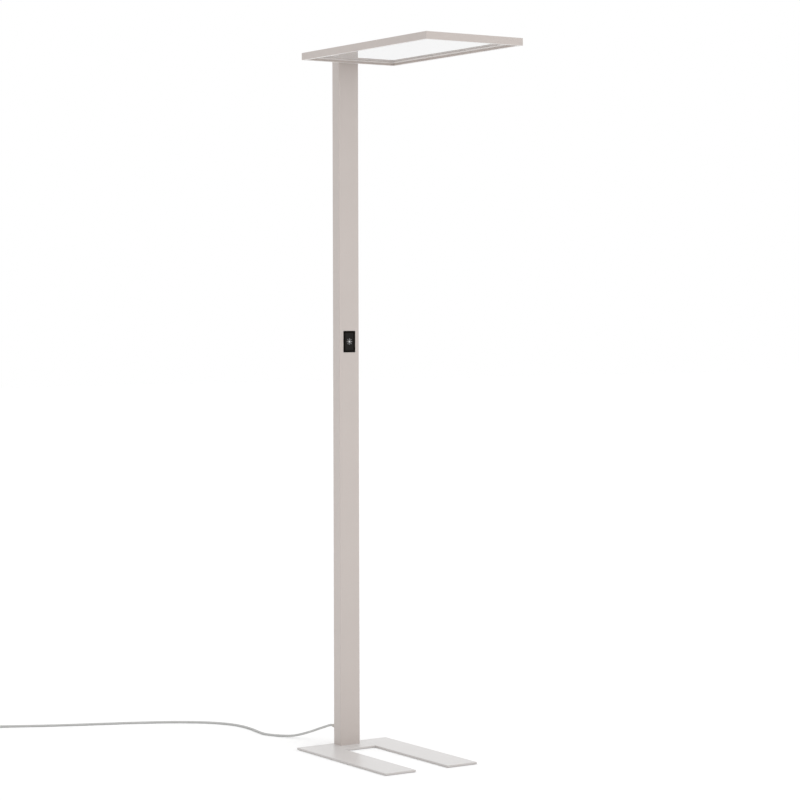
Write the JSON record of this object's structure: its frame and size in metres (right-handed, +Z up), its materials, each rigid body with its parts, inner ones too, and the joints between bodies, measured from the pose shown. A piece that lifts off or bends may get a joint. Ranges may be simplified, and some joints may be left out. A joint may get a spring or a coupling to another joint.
{
  "type": "office floor lamp",
  "caption": "Free-standing office floor lamp: a flat rectangular light head on a slim column over a forked base plate, with a push button and a mains lead.",
  "frame": {"origin": "on the floor, on the column's axis", "axes": "+Z up along the column; the head and the base's legs reach along -Y (the front); +X to the right seen from the front"},
  "size_m": [1.048, 1.5703, 1.95],
  "materials": {
    "paint": "warm light grey fine powder coat, satin",
    "base_paint": "warm light grey lacquer, satin, mirrors blurred",
    "opal": "white opal acrylic, glossy",
    "clear_acrylic": "clear acrylic light guide",
    "black_plastic": "black, finely textured",
    "key_plastic": "very dark grey, matt",
    "white_print": "white symbol let into the key",
    "ivory_plastic": "ivory plunger",
    "white_plastic": "white, smooth",
    "board": "green circuit board",
    "led_board": "white circuit board with light sources",
    "foam": "dark grey foam",
    "steel": "zinc-plated steel",
    "aluminium": "bare aluminium",
    "pad_rubber": "dark rubber",
    "lead_plastic": "grey PVC, matt",
    "gland_plastic": "warm light grey, matt",
    "wire_plastic": "insulated wire"
  },
  "bodies": {
    "lamp": {"base_plate": "base_paint", "floor_pads": "pad_rubber", "base_screws": "steel", "foot_block": "aluminium", "column_tube": "paint", "column_cap": "paint", "cap_screws": "steel", "top_block": "aluminium", "rear_screws": "steel", "rail_left": "paint", "rail_right": "paint", "rail_front": "paint", "rail_rear": "paint", "corner_keys": "aluminium", "mount_bar": "steel", "head_screws": "steel", "diffuser": "opal", "light_guide": "clear_acrylic", "led_strips": "led_board", "strip_wires": "white_plastic", "led_connector": "white_plastic", "upper_diffuser": "opal", "hold_down_strips": "foam", "top_cover": "paint", "cover_screws": "steel", "switch_bezel": "black_plastic", "tact_switch": "black_plastic", "switch_board": "board", "board_screws": "steel", "switch_cover": "black_plastic", "driver_bracket": "steel", "led_driver": "white_plastic", "driver_screws": "steel", "terminal_block": "white_plastic", "driver_wires": "wire_plastic", "inner_mains_lead": "lead_plastic", "led_lead": "lead_plastic", "switch_lead": "lead_plastic", "cable_gland": "gland_plastic", "gland_nut": "aluminium", "strain_relief": "gland_plastic", "mains_cord": "lead_plastic", "cord_coil": "lead_plastic", "cord_tie": "black_plastic", "plug_body": "lead_plastic", "plug_contacts": "steel", "plug_pins": "steel"},
    "button": {"button_key": "key_plastic", "button_symbol": "white_print", "switch_plunger": "ivory_plastic"}
  },
  "joints": [
    {"name": "button_press", "type": "slide", "parent": "lamp", "child": "button", "axis": [0, 1, 0], "range_m": [0, 0.0012], "stiffness_N_per_m": 600, "springref_m": -0.0015}
  ]
}
